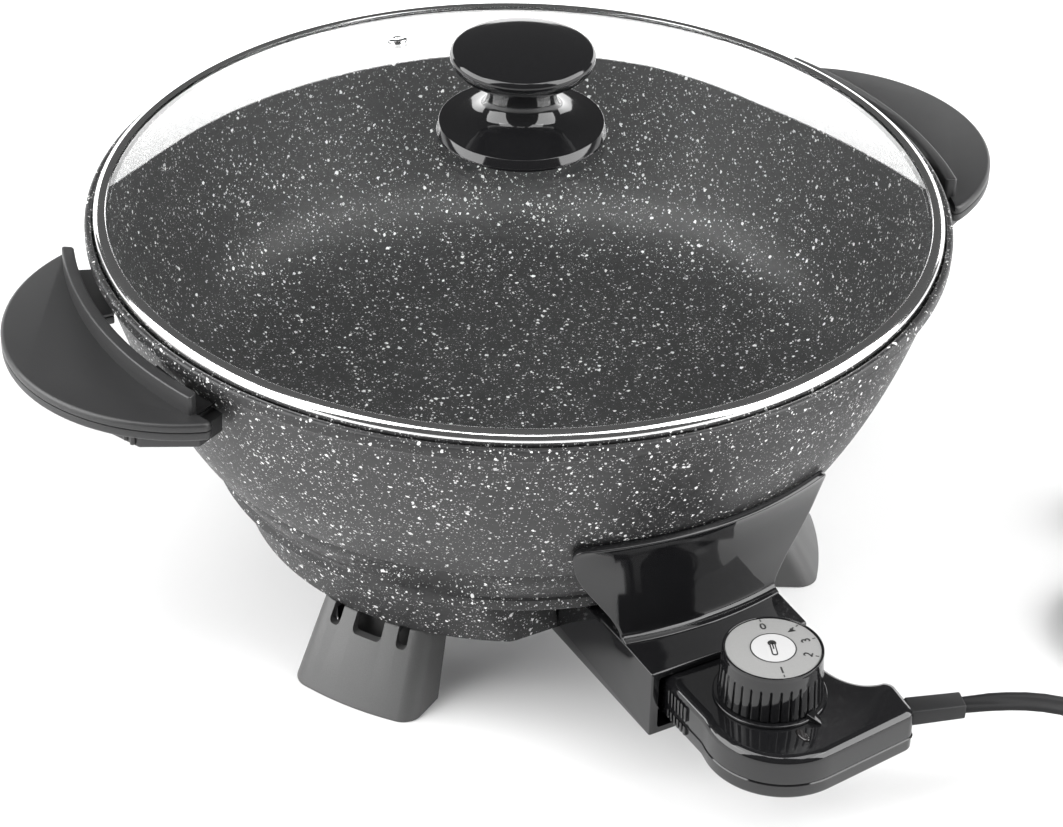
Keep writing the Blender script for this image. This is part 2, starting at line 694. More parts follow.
def make_leg(root, name, angle, look, screw_metal):
    """A U-shaped foot with a web that the screw goes through, and three notches at its top edge."""
    top = SKIRT_BOTTOM - GAP
    turn = (0, 0, math.radians(angle))
    back = LEG_FOOT_RADIUS - LEG_DEPTH
    outside = leg_path(LEG_FOOT_RADIUS, LEG_HALF_WIDTH, LEG_CORNER, back)
    inside = leg_path(LEG_FOOT_RADIUS - LEG_WALL, LEG_HALF_WIDTH - LEG_WALL, LEG_CORNER - LEG_WALL, back)
    mesh = plate([*outside, *reversed(inside)], 0, top)
    lean_in(mesh)
    leg = put(name, mesh, look, root, turn=turn)
    shrink = SKIRT_BOTTOM_RADIUS / LEG_FOOT_RADIUS
    web_line = leg_path(
        SKIRT_BOTTOM_RADIUS - LEG_WEB_INSET,
        LEG_HALF_WIDTH * shrink - LEG_WEB_INSET,
        LEG_CORNER * shrink - LEG_WEB_INSET,
        back * shrink + GAP,
    )
    web = put(name + "_web", plate(web_line, top - LEG_WEB, top - MERGE_DISTANCE), None, root, turn=turn)
    combine(leg, web, "UNION")
    bm = bmesh.new()
    screw_hole = (LEG_SCREW_PLACE, 0)
    add_rod(bm, (*screw_hole, 0), (*screw_hole, SKIRT_BOTTOM), SCREW_RADIUS + BORE_PLAY, 10)
    notch_mesh = bpy.data.meshes.new(name + "_notches")
    for offset, width in zip(NOTCH_ANGLES, NOTCH_WIDTHS):
        box = bmesh.new()
        add_box(
            box,
            (SKIRT_BOTTOM_RADIUS - NOTCH_REACH, -width / 2, top - NOTCH_DEPTH),
            (LEG_FOOT_RADIUS + OVERRUN, width / 2, SKIRT_BOTTOM + OVERRUN),
        )
        bmesh.ops.rotate(box, verts=box.verts, matrix=Matrix.Rotation(math.radians(offset), 3, "Z"))
        box.to_mesh(notch_mesh)
        box.free()
        bm.from_mesh(notch_mesh)
    bm.to_mesh(notch_mesh)
    bm.free()
    combine(leg, put(name + "_notches", notch_mesh, None, root, turn=turn))
    head = top - LEG_WEB - GAP - SCREW_HEAD_HEIGHT
    tip = SKIRT_BOTTOM + LEG_BOSS_DEPTH - OVERRUN
    screw_name = name.replace("leg", "leg_screw")
    screw_piece(
        screw_name, root, polar(LEG_SCREW_PLACE, angle, head), polar(LEG_SCREW_PLACE, angle, tip), screw_metal
    )


def make_element(root, steel, brass, ceramic, block_metal):
    """The heating loop, its two terminals with their bushes, and the guide that takes the probe."""
    half = TERMINAL_SPACING / 2
    floor_under = FLOOR_TOP - FLOOR_THICKNESS
    loop_height = floor_under - GAP - ELEMENT_RADIUS
    wall_inside = SKIRT_FLAT - SKIRT_FLAT_WALL
    start = wall_inside - 2 * GAP
    drop = loop_height - TERMINAL_HEIGHT
    lead = [
        (half, -start, TERMINAL_HEIGHT),
        (half, -start + ELEMENT_RADIUS, TERMINAL_HEIGHT),
        (half * 1.04, -start + 2.2 * ELEMENT_RADIUS, TERMINAL_HEIGHT + 0.2 * drop),
        (half * 1.18, -ELEMENT_LOOP_RADIUS - ELEMENT_RADIUS, TERMINAL_HEIGHT + 0.62 * drop),
        (half * 1.50, -ELEMENT_LOOP_RADIUS - 0.2 * ELEMENT_RADIUS, TERMINAL_HEIGHT + 0.92 * drop),
    ]
    loop = [(*point, loop_height) for point in arc((0, 0), ELEMENT_LOOP_RADIUS, -70.5, 250.5, 26)]
    back = [(-x, y, z) for x, y, z in reversed(lead)]
    put("heating_element", tube_curve([*lead, *loop, *back], ELEMENT_RADIUS, 2), steel, root)
    pin_start = start + GAP
    for side, name in ((-1, "left"), (1, "right")):
        pin_end = (side * half, -SKIRT_FLAT - PIN_REACH, TERMINAL_HEIGHT)
        rod = [((side * half, -pin_start, TERMINAL_HEIGHT), pin_end, PIN_RADIUS)]
        put("terminal_pin_" + name, blocks(rods=rod), brass, root)
        bore = PIN_RADIUS + GAP
        length = SKIRT_FLAT_WALL + BUSH_REACH
        profile = ((bore, length), (BUSH_RADIUS, length), (BUSH_RADIUS, 0), (bore, 0))
        place = (side * half, -wall_inside, TERMINAL_HEIGHT)
        turn = (TURN / 4, 0, 0)
        turned("terminal_bush_" + name, profile, 12, ceramic, root, ring=True, place=place, turn=turn)
    box = (
        (-GUIDE_HALF_WIDTH, -GUIDE_FRONT, GUIDE_BOTTOM),
        (GUIDE_HALF_WIDTH, -GUIDE_BACK, floor_under - GAP),
    )
    guide = put("probe_guide", blocks([box]), block_metal, root)
    bore_end = (0, -GUIDE_BACK - OVERRUN / 4, TERMINAL_HEIGHT)
    bore = [((0, -GUIDE_FRONT - OVERRUN, TERMINAL_HEIGHT), bore_end, PROBE_RADIUS + BORE_PLAY)]
    combine(guide, put("probe_guide_bore", blocks(rods=bore), None, root))


def tube_curve(points, radius, resolution, half_web=0.0, tilts=None):
    """A tube along these points. With a half_web it is a flat tube, two rounds joined by a web."""
    curve = bpy.data.curves.new("tube", "CURVE")
    curve.dimensions = "3D"
    curve.twist_mode = "Z_UP"
    curve.bevel_depth = radius
    curve.bevel_resolution = resolution
    curve.extrude = half_web
    curve.use_fill_caps = True
    spline = curve.splines.new("POLY")
    spline.points.add(len(points) - 1)
    for i, point in enumerate(points):
        spline.points[i].co = (*point, 1)
        if tilts:
            spline.points[i].tilt = math.radians(tilts[i])
    return curve


def tunnel_outline():
    """The tunnel seen from the side, as (y, height): its brow stands outside the bowl's ledge."""
    back = -SKIRT_FLAT - 2 * GAP
    low_top = LEDGE_BOTTOM - 4 * GAP
    return [
        (back, TUNNEL_BOTTOM),
        (back, low_top),
        (-TUNNEL_STEP, low_top),
        (-TUNNEL_STEP, TUNNEL_TOP),
        (-TUNNEL_BROW, TUNNEL_TOP),
        (-TUNNEL_FRONT, TUNNEL_FRONT_TOP),
        (-TUNNEL_FRONT, TUNNEL_BOTTOM),
    ]


def make_shield(root, gloss, screw_metal):
    """The heat shield and the socket tunnel, one moulding, held to the skirt's flat by a flange."""
    tunnel = upright(plate(tunnel_outline(), -TUNNEL_HALF, TUNNEL_HALF))
    shield = put("socket_shield", tunnel, gloss, root)
    turn = (0, 0, math.radians(-90 - SHIELD_SWEEP_ANGLE / 2))
    face = turned(
        "shield_face",
        SHIELD_LINE,
        SHIELD_STEPS,
        None,
        root,
        turn=turn,
        sweep=math.radians(SHIELD_SWEEP_ANGLE),
    )
    shell = face.modifiers.new("wall", "SOLIDIFY")
    shell.thickness = SHIELD_WALL
    shell.offset = -1
    shell.use_even_offset = True
    top = SHIELD_LINE[0][1]
    bottom = SHIELD_LINE[-1][1] - SHIELD_WALL
    half, corner = SHIELD_TOP_HALF, SHIELD_CORNER
    silhouette = [
        (-TUNNEL_HALF, bottom - OVERRUN),
        (TUNNEL_HALF, bottom - OVERRUN),
        (TUNNEL_HALF, bottom + SHIELD_WALL),
        *SHIELD_HALVES,
        (half, top - corner),
        *arc((half - corner, top - corner), corner, 30, 75, 3),
        (half - 2 * corner, top + OVERRUN),
        (2 * corner - half, top + OVERRUN),
        *arc((corner - half, top - corner), corner, 105, 150, 3),
        (-half, top - corner),
        *[(-x, height) for x, height in reversed(SHIELD_HALVES)],
        (-TUNNEL_HALF, bottom + SHIELD_WALL),
    ]
    mesh = plate(silhouette, TUNNEL_STEP - 2 * OVERRUN, TUNNEL_FRONT + OVERRUN)
    mesh.transform(Matrix(((1, 0, 0, 0), (0, 0, -1, 0), (0, 1, 0, 0), (0, 0, 0, 1))))
    combine(face, put("shield_silhouette", mesh, None, root), "INTERSECT")
    combine(shield, face, "UNION")
    back = -SKIRT_FLAT - 2 * GAP
    flange = (
        (-FLANGE_HALF, back - FLANGE_THICKNESS, FLANGE_HEIGHTS[0]),
        (FLANGE_HALF, back, FLANGE_HEIGHTS[1]),
    )
    combine(shield, put("shield_flange", blocks([flange]), None, root), "UNION")
    inner = TUNNEL_HALF - TUNNEL_WALL
    hole_low = (-inner, -TUNNEL_FRONT - OVERRUN, TUNNEL_BOTTOM + TUNNEL_WALL)
    holes = blocks(
        [(hole_low, (inner, back + OVERRUN, TUNNEL_CEILING))],
        [
            (
                (side * FLANGE_SCREW_PLACE, back - OVERRUN * 2, FLANGE_SCREW_HEIGHT),
                (side * FLANGE_SCREW_PLACE, back + OVERRUN, FLANGE_SCREW_HEIGHT),
                SCREW_RADIUS + GAP,
            )
            for side in (-1, 1)
        ],
    )
    combine(shield, put("shield_holes", holes, None, root))
    head = back - FLANGE_THICKNESS - GAP - SCREW_HEAD_HEIGHT
    tip = -SKIRT_FLAT + SKIRT_FLAT_WALL
    for side, name in ((-1, "left"), (1, "right")):
        x = side * FLANGE_SCREW_PLACE
        places = (x, head, FLANGE_SCREW_HEIGHT), (x, tip, FLANGE_SCREW_HEIGHT)
        screw_piece("shield_screw_" + name, root, *places, screw_metal)


def handle_outline():
    """A side handle's plate in plan: an outer arc, and a lug at each end that reaches the pan."""
    lug = LUG_ANGLE
    return [
        *arc((HANDLE_CENTRE, 0), HANDLE_RADIUS, -HANDLE_HALF_ANGLE, HANDLE_HALF_ANGLE, 17),
        polar(LUG_INNER_RADIUS, LUG_END_ANGLE),
        polar(LUG_INNER_RADIUS, lug),
        *arc((0, 0), HANDLE_INNER_RADIUS, lug, -lug, 9),
        polar(LUG_INNER_RADIUS, -lug),
        polar(LUG_INNER_RADIUS, -LUG_END_ANGLE),
    ]


def outside_of_pan(root, name, turn):
    """A cutter of the bowl's outer shape, a gap larger, for what is fixed to its side."""
    line = [(radius + GAP, height) for radius, height in bowl_line()]
    low = line[-1][1]
    profile = [(0, RIM_TOP), (line[0][0], RIM_TOP), *line, (0, low)]
    return turned(name, profile, PAN_STEPS, None, root, turn=turn)


def make_handle(root, side, angle, look, screw_metal):
    """Two halves that clasp each other, each with a lug under the rim."""
    turn = (0, 0, math.radians(angle))
    bowl = outside_of_pan(root, "bowl_for_handle_" + side, turn)
    upper_plate = plate(handle_outline(), HANDLE_PARTING + GAP, HANDLE_TOP)
    upper = put("handle_" + side + "_upper", upper_plate, look, root, turn=turn)
    middle = (HANDLE_TOP + HANDLE_PARTING) / 2
    round_edges(upper, HANDLE_ROUND, 2, above(middle))
    shelf = [((0, 0, SHELF_TOP), (0, 0, RAIL_TOP + OVERRUN), SHELF_RADIUS, PAN_STEPS * 2)]
    combine(upper, put("shelf_" + side, blocks(rods=shelf), None, root, turn=turn))
    rail_outer = RAIL_INNER_RADIUS + RAIL_WIDTH
    rail_line = [
        *arc((0, 0), rail_outer, -RAIL_HALF_ANGLE, RAIL_HALF_ANGLE, 13),
        *arc((0, 0), RAIL_INNER_RADIUS, RAIL_HALF_ANGLE, -RAIL_HALF_ANGLE, 13),
    ]
    rail = put("rail_" + side, plate(rail_line, HANDLE_PARTING + 2 * GAP, RAIL_TOP), None, root, turn=turn)
    round_edges(rail, RAIL_ROUND, 1, above((RAIL_TOP + HANDLE_TOP) / 2))
    combine(upper, rail, "UNION")
    combine(upper, bowl)
    lower_plate = plate(handle_outline(), HANDLE_BOTTOM, HANDLE_PARTING)
    lower = put("handle_" + side + "_lower", lower_plate, look, root, turn=turn)
    round_edges(lower, HANDLE_ROUND, 2, below((HANDLE_BOTTOM + HANDLE_PARTING) / 2))
    reach = HANDLE_CENTRE + HANDLE_RADIUS
    corners = [polar(share * reach, a) for share, a in BRACKET_SHARES]
    mirrored = [(x, -y) for x, y in reversed(corners)]
    for end, outline in (("rear", corners), ("front", mirrored)):
        mesh = plate(outline, BRACKET_BOTTOM, HANDLE_BOTTOM + HANDLE_ROUND * 1.5)
        bracket = put("bracket_" + side + "_" + end, mesh, None, root, turn=turn)
        combine(lower, bracket, "UNION")
    combine(lower, bowl)
    places = [polar(HANDLE_SCREW_RING_RADIUS, a) for a in (HANDLE_SCREW_ANGLE, -HANDLE_SCREW_ANGLE)]
    bore = SCREW_RADIUS + GAP
    deep = HANDLE_PARTING + HANDLE_SCREW_DEPTH
    holes = blocks(rods=[((*p, BRACKET_BOTTOM - OVERRUN), (*p, deep + GAP), bore, 10) for p in places])
    cutter = put("handle_screw_holes_" + side, holes, None, root, turn=turn)
    combine(upper, cutter)
    combine(lower, cutter)
    spin = Matrix.Rotation(math.radians(angle), 3, "Z")
    head = BRACKET_BOTTOM - GAP - SCREW_HEAD_HEIGHT
    for place in places:
        x, y, _ = spin @ Vector((*place, 0))
        end = "rear" if y > 0 else "front"
        screw_piece("handle_screw_" + side + "_" + end, root, (x, y, head), (x, y, deep), screw_metal)


def make_lid(lid, glass_look, steel, black, rubber, screw_metal):
    """The glass with its ring, its vent eyelet and its knob, screwed through the middle."""
    radii = [GLASS_HOLE + (GLASS_RADIUS - GLASS_HOLE) * i / (GLASS_POINTS - 1) for i in range(GLASS_POINTS)]
    top = [(radius, glass_height(radius)) for radius in radii]
    under = [(radius, height - GLASS_THICKNESS) for radius, height in reversed(top)]
    glass = turned("lid_glass", [*top, *under], PAN_STEPS, glass_look, lid, ring=True)
    vent_radius = math.hypot(*VENT_PLACE)
    lean = math.asin(vent_radius / GLASS_CURVE_RADIUS)
    around = math.atan2(VENT_PLACE[1], VENT_PLACE[0])
    turn = (Matrix.Rotation(around, 3, "Z") @ Matrix.Rotation(lean, 3, "Y")).to_euler()
    vent = (*VENT_PLACE, glass_height(vent_radius))
    rod = [((0, 0, -2 * GLASS_THICKNESS), (0, 0, GLASS_THICKNESS), VENT_HOLE, 14)]
    combine(glass, put("vent_hole", blocks(rods=rod), None, lid, vent, turn))
    flange = EYELET_FLANGE_HEIGHT + GAP
    eyelet_line = (
        (EYELET_BORE, flange),
        (EYELET_FLANGE, flange),
        (EYELET_FLANGE, GAP),
        (EYELET_BODY, GAP),
        (EYELET_BODY, -GLASS_THICKNESS - GAP),
        (EYELET_FLANGE, -GLASS_THICKNESS - GAP),
        (EYELET_FLANGE, -GLASS_THICKNESS - flange),
        (EYELET_BORE, -GLASS_THICKNESS - flange),
    )
    turned("vent_eyelet", eyelet_line, 14, steel, lid, ring=True, place=vent, turn=turn)
    inner_wall = GLASS_RADIUS + GAP
    slot_bottom = glass_height(GLASS_RADIUS) - GLASS_THICKNESS - GAP
    rise = (LID_RING_INNER_TOP - LID_RING_TOP) / (LID_RADIUS - LID_RING_INNER)
    slot_top = LID_RING_INNER_TOP - LID_RING_WALL - rise * (inner_wall - LID_RING_INNER)
    ring_line = (
        (LID_RING_INNER, LID_RING_INNER_TOP),
        (LID_RADIUS - LID_RING_ROUND, LID_RING_TOP),
        (LID_RADIUS, LID_RING_TOP - LID_RING_ROUND),
        (LID_RADIUS, LID_RING_BOTTOM + LID_RING_ROUND),
        (LID_RADIUS - LID_RING_ROUND, LID_RING_BOTTOM),
        (LID_RING_INNER, LID_RING_BOTTOM),
        (LID_RING_INNER, slot_bottom),
        (inner_wall, slot_bottom),
        (inner_wall, slot_top),
        (LID_RING_INNER, LID_RING_INNER_TOP - LID_RING_WALL),
    )
    turned("lid_ring", ring_line, PAN_STEPS, steel, lid, ring=True)
    make_knob(lid, black, rubber, screw_metal)


def make_knob(lid, black, rubber, screw_metal):
    bore = SCREW_RADIUS + BORE_PLAY
    disc, stem = KNOB_DISC_RADIUS, KNOB_STEM_RADIUS
    edge_top = KNOB_STEM_TOP - (KNOB_STEM_TOP - GLASS_APEX) * 0.785
    flare = KNOB_STEM_TOP - edge_top
    edge_bottom = glass_height(disc) + 3 * KNOB_SEAT_GAP
    seat = glass_height(KNOB_SEAT_RADIUS) + GAP
    base_line = (
        (bore, KNOB_STEM_TOP),
        (stem, KNOB_STEM_TOP),
        (stem, edge_top + 0.45 * flare),
        (stem + 0.12 * (disc - stem), edge_top + 0.24 * flare),
        (stem + 0.42 * (disc - stem), edge_top + 0.12 * flare),
        (stem + 0.85 * (disc - stem), edge_top + 0.05 * flare),
        (disc, edge_top - 0.02 * flare),
        (disc, edge_bottom + KNOB_SEAT_GAP),
        (disc - KNOB_SEAT_GAP, edge_bottom),
        (KNOB_SEAT_RADIUS + KNOB_SEAT_GAP, edge_bottom),
        (KNOB_SEAT_RADIUS, seat),
        (bore, glass_height(0) + GAP),
    )
    turned("knob_base", base_line, KNOB_STEPS, black, lid, ring=True)
    cap = KNOB_CAP_RADIUS
    crown = KNOB_CAP_CROWN
    widest = KNOB_STEM_TOP + KNOB_CAP_SKIRT
    skirt = KNOB_CAP_SKIRT - GAP
    low = KNOB_STEM_TOP + GAP
    bore_top = widest - crown / 2
    cap_line = (
        (0, widest + crown),
        (0.45 * cap, widest + 0.86 * crown),
        (0.75 * cap, widest + 0.60 * crown),
        (0.93 * cap, widest + 0.30 * crown),
        (cap, widest),
        (0.985 * cap, low + 0.74 * skirt),
        (0.88 * cap, low + 0.38 * skirt),
        (0.70 * cap, low + 0.12 * skirt),
        (0.50 * cap, low),
        (bore, low),
        (bore, bore_top),
        (0, bore_top),
    )
    turned("knob_cap", cap_line, KNOB_STEPS, black, lid)
    under = glass_height(0) - GLASS_THICKNESS
    washer_top = glass_height(WASHER_RADIUS) - GLASS_THICKNESS - GAP
    washer_line = (
        (bore, washer_top),
        (WASHER_RADIUS, washer_top),
        (WASHER_RADIUS, washer_top - WASHER_THICKNESS),
        (bore, washer_top - WASHER_THICKNESS),
    )
    turned("knob_washer", washer_line, 16, rubber, lid, ring=True)
    head = min(under, washer_top) - WASHER_THICKNESS - GAP - SCREW_HEAD_HEIGHT
    screw_piece("knob_screw", lid, (0, 0, head), (0, 0, bore_top - GAP), screw_metal)


def control_outline():
    """The control in plan: a neck, a round nose, an end face for the cord and a saddle back to the neck."""
    nose = arc((0, -NOSE_PLACE), NOSE_RADIUS, NOSE_ANGLES[0], 270, NOSE_POINTS)
    nose += arc((0, -NOSE_PLACE), NOSE_RADIUS, 270, NOSE_ANGLES[1], 2)[1:]
    front = Vector((END_FRONT[0], -END_FRONT[1]))
    back = Vector((END_BACK[0], -END_BACK[1]))
    tangent = (front - Vector(nose[-1])).normalized()
    face = (back - front).normalized()
    saddle = bezier(
        (END_BACK[0] - END_ROUND, -END_BACK[1] + END_ROUND / 3),
        (SADDLE_PULLS[0][0], -SADDLE_PULLS[0][1]),
        (SADDLE_PULLS[1][0], -SADDLE_PULLS[1][1]),
        (NECK_HALF, -NECK_END - NECK_LENGTH * 0.95),
        SADDLE_POINTS,
    )
    return [
        (-NECK_HALF, -NECK_END),
        (-NECK_HALF, -NECK_END - NECK_LENGTH),
        *nose,
        tuple(front - tangent * END_ROUND),
        tuple(front - tangent * END_ROUND * 0.3 + face * END_ROUND * 0.3),
        tuple(front + face * END_ROUND),
        tuple(back - face * END_ROUND / 3),
        *saddle,
        (NECK_HALF, -NECK_END),
    ]


def make_housings(control, gloss, screw_metal):
    """Two shells that meet at the parting line, with bosses, ribs and a cradle inside."""
    outline = control_outline()
    inner = inset(outline, CONTROL_WALL)
    ceiling = CONTROL_TOP - CONTROL_WALL
    floor = CONTROL_BOTTOM + CONTROL_WALL
    seam_top = CONTROL_PARTING + GAP
    upper = put("control_upper_housing", plate(outline, seam_top, CONTROL_TOP), gloss, control)
    round_edges(upper, CONTROL_ROUND, 2, above((CONTROL_TOP + seam_top) / 2))
    combine(upper, put("upper_cavity", plate(inner, seam_top - OVERRUN, ceiling), None, control))
    lower = put("control_lower_housing", plate(outline, CONTROL_BOTTOM, CONTROL_PARTING), gloss, control)
    round_edges(lower, CONTROL_BASE_ROUND, 1, below((CONTROL_BOTTOM + CONTROL_PARTING) / 2))
    combine(lower, put("lower_cavity", plate(inner, floor, CONTROL_PARTING + OVERRUN), None, control))
    sink = CONTROL_WALL / 2
    upper_ends = [((x, -y, seam_top), (x, -y, ceiling + sink)) for x, y in HOUSING_SCREWS]
    upper_bosses = blocks(rods=[(*ends, BOSS_RADIUS) for ends in upper_ends])
    combine(upper, put("upper_bosses", upper_bosses, None, control), "UNION")
    lower_ends = [((x, -y, floor - sink), (x, -y, CONTROL_PARTING)) for x, y in HOUSING_SCREWS]
    lower_bosses = blocks(rods=[(*ends, BOSS_RADIUS) for ends in lower_ends])
    combine(lower, put("lower_bosses", lower_bosses, None, control), "UNION")
    sleeve_start = NECK_END + SLEEVE_INSET
    cradle_top = TERMINAL_HEIGHT - SLEEVE_HALF - GAP
    frame_front = DIAL_PLACE[1] - FRAME_AHEAD_OF_DIAL
    rib_top = CONTROL_PARTING
    supports = blocks(
        [
            (
                (-CRADLE_HALF, -sleeve_start - SLEEVE_LENGTH * CRADLE_SHARES[1], floor - sink),
                (CRADLE_HALF, -sleeve_start - SLEEVE_LENGTH * CRADLE_SHARES[0], cradle_top),
            ),
            *[
                (
                    (side * RIB_SPACING / 2 - RIB_HALF, -frame_front - FRAME_LENGTH, floor - sink),
                    (side * RIB_SPACING / 2 + RIB_HALF, -frame_front - FRAME_SHEET, rib_top),
                )
                for side in (-1, 1)
            ],
        ]
    )
    combine(lower, put("lower_supports", supports, None, control), "UNION")
    window_top = TERMINAL_HEIGHT + SLEEVE_HALF
    window_low = (-WINDOW_HALF, -NECK_END - CONTROL_WALL - OVERRUN / 4, cradle_top)
    window = blocks([(window_low, (WINDOW_HALF, -NECK_END + OVERRUN, window_top))])
    cutter = put("neck_window", window, None, control)
    combine(upper, cutter)
    combine(lower, cutter)
    dial_x, dial_y = DIAL_PLACE
    lens_x, lens_y = LENS_PLACE
    screw_top = ceiling
    holes = blocks(
        rods=[
            (
                (dial_x, -dial_y, CONTROL_PARTING),
                (dial_x, -dial_y, CONTROL_TOP + OVERRUN),
                SHAFT_RADIUS + BORE_PLAY,
            ),
            *[
                ((x, -y, CONTROL_BOTTOM - OVERRUN), (x, -y, screw_top), SCREW_RADIUS + GAP, 10)
                for x, y in HOUSING_SCREWS
            ],
        ]
    )
    hole_cutter = put("housing_holes", holes, None, control)
    combine(upper, hole_cutter)
    combine(lower, hole_cutter)
    lens_hole = lens_solid(GAP, CONTROL_TOP - LENS_DEPTH - OVERRUN, CONTROL_TOP + OVERRUN)
    combine(upper, put("lens_hole", lens_hole, None, control, (lens_x, -lens_y, 0)))
    for (x, y), name in zip(HOUSING_SCREWS, ("rear", "front")):
        head = CONTROL_BOTTOM - GAP - SCREW_HEAD_HEIGHT
        screw_piece("housing_screw_" + name, control, (x, -y, head), (x, -y, screw_top - GAP), screw_metal)
    return upper


def lens_solid(spare, bottom, top):
    wide, long = (half + spare for half in LENS_HALF)
    points = [(wide * math.cos(TURN * i / 16), long * math.sin(TURN * i / 16)) for i in range(16)]
    return plate(points, bottom, top)


def make_control_insides(control, steel, brass, amber):
    frame_front = DIAL_PLACE[1] - FRAME_AHEAD_OF_DIAL
    base = CONTROL_PARTING + GAP
    sheet_top = base + FRAME_SHEET
    sheet_end = (FRAME_HALF, -frame_front - FRAME_SHEET / 2, sheet_top)
    frame = blocks([((-FRAME_HALF, -frame_front - FRAME_LENGTH, base), sheet_end)])
    piece = put("thermostat_frame", frame, steel, control)
    lug_end = (FRAME_HALF / 2, -frame_front, base + FRAME_LUG)
    lug = blocks([((-FRAME_HALF / 2, -frame_front - FRAME_SHEET, base), lug_end)])
    combine(piece, put("frame_lug", lug, None, control), "UNION")
    foot = sheet_top + GAP
    arm_end = -DIAL_PLACE[1] - ARM_FOOT
    arm_start = -frame_front - 2 * FRAME_SHEET
    high = foot + ARM_RISE
    line = [
        (arm_start, foot),
        (arm_start, foot + ARM_SHEET),
        (arm_start - ARM_FOOT, foot + ARM_SHEET),
        (arm_start - 2 * ARM_FOOT, high + ARM_SHEET),
        (arm_end, high + ARM_SHEET),
        (arm_end, high),
        (arm_start - 2 * ARM_FOOT, high),
        (arm_start - ARM_FOOT, foot),
    ]
    put("contact_arm", upright(plate(line, -ARM_HALF, ARM_HALF)), brass, control)
    start = NECK_END + SLEEVE_INSET
    for side, name in ((-1, "left"), (1, "right")):
        x = side * TERMINAL_SPACING / 2
        low = (x - SLEEVE_HALF, -start - SLEEVE_LENGTH, TERMINAL_HEIGHT - SLEEVE_HALF)
        high_corner = (x + SLEEVE_HALF, -start, TERMINAL_HEIGHT + SLEEVE_HALF)
        sleeve = put("contact_sleeve_" + name, blocks([(low, high_corner)]), brass, control)
        bore_end = (x, -start - SLEEVE_LENGTH - OVERRUN, TERMINAL_HEIGHT)
        bore = [((x, -start + OVERRUN, TERMINAL_HEIGHT), bore_end, PIN_RADIUS + GAP)]
        combine(sleeve, put("sleeve_bore_" + name, blocks(rods=bore), None, control))
    probe_length = frame_front - PROBE_TIP
    probe_line = (
        (0, 0),
        (PROBE_RADIUS - PROBE_NOSE / 2, 0),
        (PROBE_RADIUS, -PROBE_NOSE),
        (PROBE_RADIUS, GAP - probe_length),
        (0, GAP - probe_length),
    )
    place = (0, -PROBE_TIP, TERMINAL_HEIGHT)
    turned("probe_rod", probe_line, 12, steel, control, place=place, turn=(-TURN / 4, 0, 0))
    lens = lens_solid(0, CONTROL_TOP - LENS_DEPTH, CONTROL_TOP + LENS_HEIGHT)
    put("indicator_lamp", lens, amber, control, (LENS_PLACE[0], -LENS_PLACE[1], 0))
    return high + ARM_SHEET


def make_bezel(control, gloss):
    dial_x, dial_y = DIAL_PLACE
    low = CONTROL_TOP + GAP
    top = low + BEZEL_HEIGHT
    bore = SHAFT_RADIUS + BORE_PLAY
    ring_line = (
        (bore, top),
        (BEZEL_RADIUS - BEZEL_ROUND, top),
        (BEZEL_RADIUS, top - BEZEL_ROUND),
        (BEZEL_RADIUS, low),
        (bore, low),
    )
    bezel = turned("dial_bezel", ring_line, 32, gloss, control, ring=True, place=(dial_x, -dial_y, 0))
    root_radius = BEZEL_RADIUS - 2 * BEZEL_ROUND
    outline = [(root_radius, -FIN_HALF_WIDTH), (FIN_TIP, 0), (root_radius, FIN_HALF_WIDTH)]
    mesh = plate(outline, low, low + FIN_HEIGHT)
    for vertex in mesh.vertices:
        if vertex.co.x > BEZEL_RADIUS and vertex.co.z > top:
            vertex.co.z = top - BEZEL_ROUND
    turn = (0, 0, math.radians(FIN_ANGLE))
    combine(bezel, put("bezel_fin", mesh, None, control, (dial_x, -dial_y, 0), turn), "UNION")


